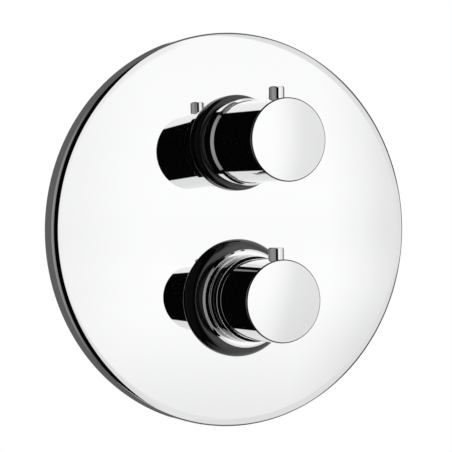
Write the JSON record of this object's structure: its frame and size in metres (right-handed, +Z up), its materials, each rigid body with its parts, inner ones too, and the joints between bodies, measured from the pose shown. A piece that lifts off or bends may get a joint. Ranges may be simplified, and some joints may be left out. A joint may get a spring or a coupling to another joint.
{
  "type": "thermostatic shower valve",
  "caption": "Concealed thermostatic shower valve: round domed chrome wall plate with an outlet handle above a temperature handle, each with a lever pin, and the brass valve behind it.",
  "frame": {"origin": "centre of the plate's back rim, on the finished wall plane", "axes": "+Z up, -Y toward the user, +X to the user's right"},
  "size_m": [0.22, 0.142, 0.22],
  "materials": {
    "chrome": "mirror-polished plating",
    "black_rubber": "smooth matt",
    "foam": "closed-cell foam",
    "raw_brass": "cast, machined at the mouths",
    "turned_brass": "turned",
    "stainless": "brushed",
    "spring_steel": "bright wire",
    "white_plastic": "moulded",
    "grey_plastic": "moulded",
    "copper": "drawn copper",
    "white_ceramic": "lapped"
  },
  "bodies": {
    "housing": {"bracket_screws": "stainless", "cold_check_body": "white_plastic", "cold_check_spring": "spring_steel", "cold_inlet_strainer": "stainless", "cold_stop_gland": "turned_brass", "fixed_ceramic_disc": "white_ceramic", "hot_check_body": "white_plastic", "hot_check_spring": "spring_steel", "hot_inlet_strainer": "stainless", "hot_stop_gland": "turned_brass", "lower_collar": "chrome", "lower_front_ring": "chrome", "lower_seal_ring": "black_rubber", "lower_sleeve": "chrome", "mounting_bracket": "stainless", "plate_gasket": "foam", "return_spring": "spring_steel", "selector_base_seal": "black_rubber", "selector_housing": "turned_brass", "selector_o_rings": "black_rubber", "selector_retaining_nut": "turned_brass", "temperature_stop_ring": "grey_plastic", "thermostat_housing": "turned_brass", "thermostat_o_rings": "black_rubber", "thermostat_retaining_nut": "turned_brass", "thermostat_screens": "stainless", "upper_seal_ring": "black_rubber", "upper_sleeve": "chrome", "valve_body": "raw_brass", "wall_plate": "chrome"},
    "upper_knob": {"upper_handle": "chrome", "upper_handle_pin": "chrome", "upper_handle_carrier": "grey_plastic", "upper_handle_grub_screw": "stainless", "selector_spindle": "turned_brass", "selector_circlip": "stainless", "moving_ceramic_disc": "white_ceramic"},
    "lower_knob": {"lower_handle": "chrome", "lower_handle_pin": "chrome", "lower_handle_carrier": "grey_plastic", "lower_handle_grub_screw": "stainless", "temperature_spindle": "turned_brass", "temperature_circlip": "stainless"},
    "mixing_slide": {"temperature_adjuster": "white_plastic", "overload_spring": "spring_steel", "wax_element": "copper", "mixing_shuttle": "white_plastic"},
    "hot_stop": {"hot_service_stop": "turned_brass", "hot_stop_o_ring": "black_rubber"},
    "cold_stop": {"cold_service_stop": "turned_brass", "cold_stop_o_ring": "black_rubber"},
    "hot_poppet": {"hot_check_poppet": "white_plastic"},
    "cold_poppet": {"cold_check_poppet": "white_plastic"}
  },
  "joints": [
    {"name": "outlet_selector_turn", "type": "hinge", "parent": "housing", "child": "upper_knob", "pos_m": [0, 0, 0.0484], "axis": [0, -1, 0], "range_deg": [-60, 60]},
    {"name": "temperature_turn", "type": "hinge", "parent": "housing", "child": "lower_knob", "pos_m": [0, 0, -0.038], "axis": [0, -1, 0], "range_deg": [-180, 60]},
    {"name": "mixing_travel", "type": "slide", "parent": "housing", "child": "mixing_slide", "axis": [0, -1, 0], "range_m": [-0.00101, 0.00034], "deforming": ["return_spring"]},
    {"name": "hot_stop_turn", "type": "hinge", "parent": "housing", "child": "hot_stop", "pos_m": [-0.034, 0, -0.038], "axis": [0, -1, 0], "range_deg": [0, 90]},
    {"name": "cold_stop_turn", "type": "hinge", "parent": "housing", "child": "cold_stop", "pos_m": [0.034, 0, -0.038], "axis": [0, -1, 0], "range_deg": [0, 90]},
    {"name": "hot_check_travel", "type": "slide", "parent": "housing", "child": "hot_poppet", "axis": [1, 0, 0], "range_m": [0, 0.002], "stiffness_N_per_m": 200, "springref_m": -0.002, "deforming": ["hot_check_spring"]},
    {"name": "cold_check_travel", "type": "slide", "parent": "housing", "child": "cold_poppet", "axis": [-1, 0, 0], "range_m": [0, 0.002], "stiffness_N_per_m": 200, "springref_m": -0.002, "deforming": ["cold_check_spring"]}
  ],
  "couplings": [
    {"joint": "mixing_travel", "follows": "temperature_turn", "m_per_rad": 0.00031831}
  ]
}
